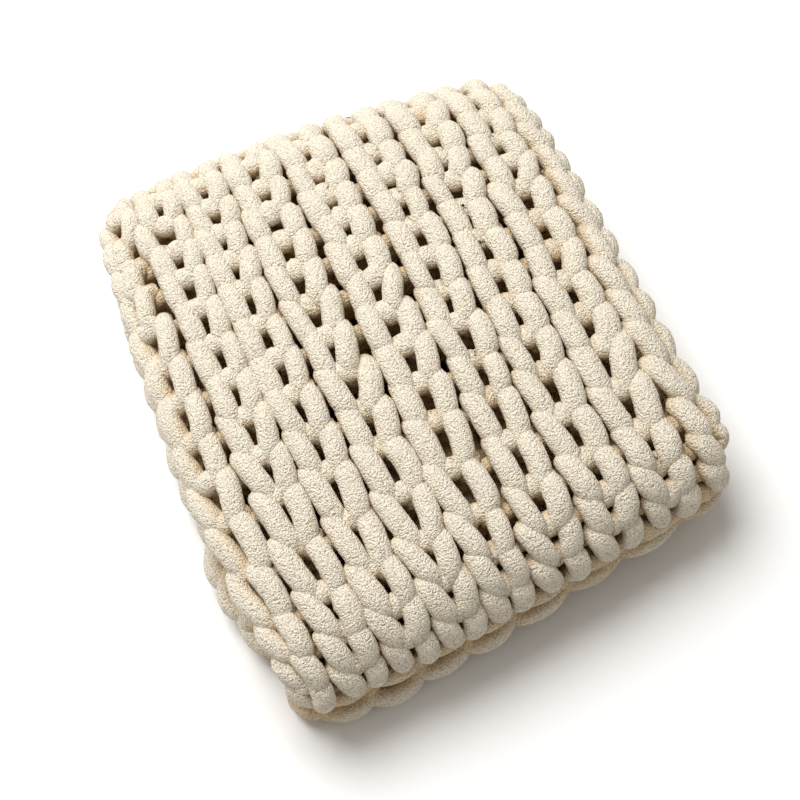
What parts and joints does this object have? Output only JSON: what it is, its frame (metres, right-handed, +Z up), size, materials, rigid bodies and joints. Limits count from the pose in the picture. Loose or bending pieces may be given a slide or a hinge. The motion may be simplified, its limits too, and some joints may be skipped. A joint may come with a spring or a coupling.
{
  "type": "chunky knit blanket",
  "caption": "Chunky hand-knit throw blanket in cream chenille yarn, folded lengthways and across into a neat square stack.",
  "frame": {"origin": "centre of the bounding box's bottom face, on the surface the stack rests on", "axes": "+Z up; the knit columns run along Y, with the turned-down edge facing -Y and the fold across the blanket facing +Y; the lengthways fold faces -X and the free side edges face +X"},
  "size_m": [0.4204, 0.4962, 0.1239],
  "materials": {
    "yarn": "thick cream chenille yarn with a short dense nap, fully matt"
  },
  "bodies": {
    "root": {"blanket": "yarn"}
  },
  "joints": []
}
